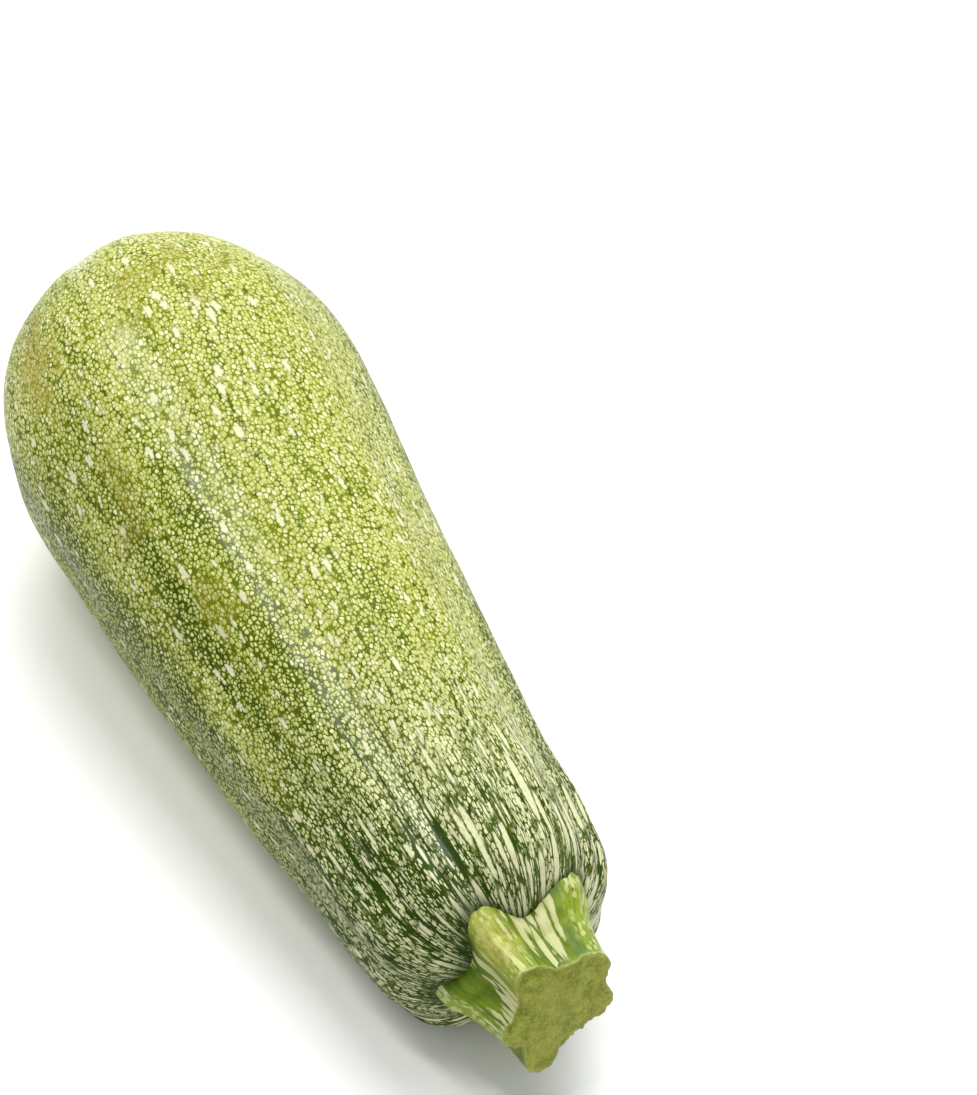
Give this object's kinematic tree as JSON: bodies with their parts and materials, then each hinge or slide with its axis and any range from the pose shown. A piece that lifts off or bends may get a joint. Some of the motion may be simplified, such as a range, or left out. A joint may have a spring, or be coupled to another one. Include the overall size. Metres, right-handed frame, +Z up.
{
  "type": "hobak squash",
  "caption": "Whole hobak squash lying on its side: mottled green fruit, widest near the blossom end, with a ridged cut stem stub.",
  "frame": {"origin": "middle of the whole squash's footprint, on the surface that it rests on", "axes": "+X along the fruit from the blossom end towards the cut stem, +Z up, +Y to the left seen from behind the blossom end"},
  "size_m": [0.1788, 0.0664, 0.0679],
  "materials": {
    "skin": "satin",
    "stem": "satin"
  },
  "bodies": {
    "root": {"fruit": "skin", "stem": "stem"}
  },
  "joints": []
}
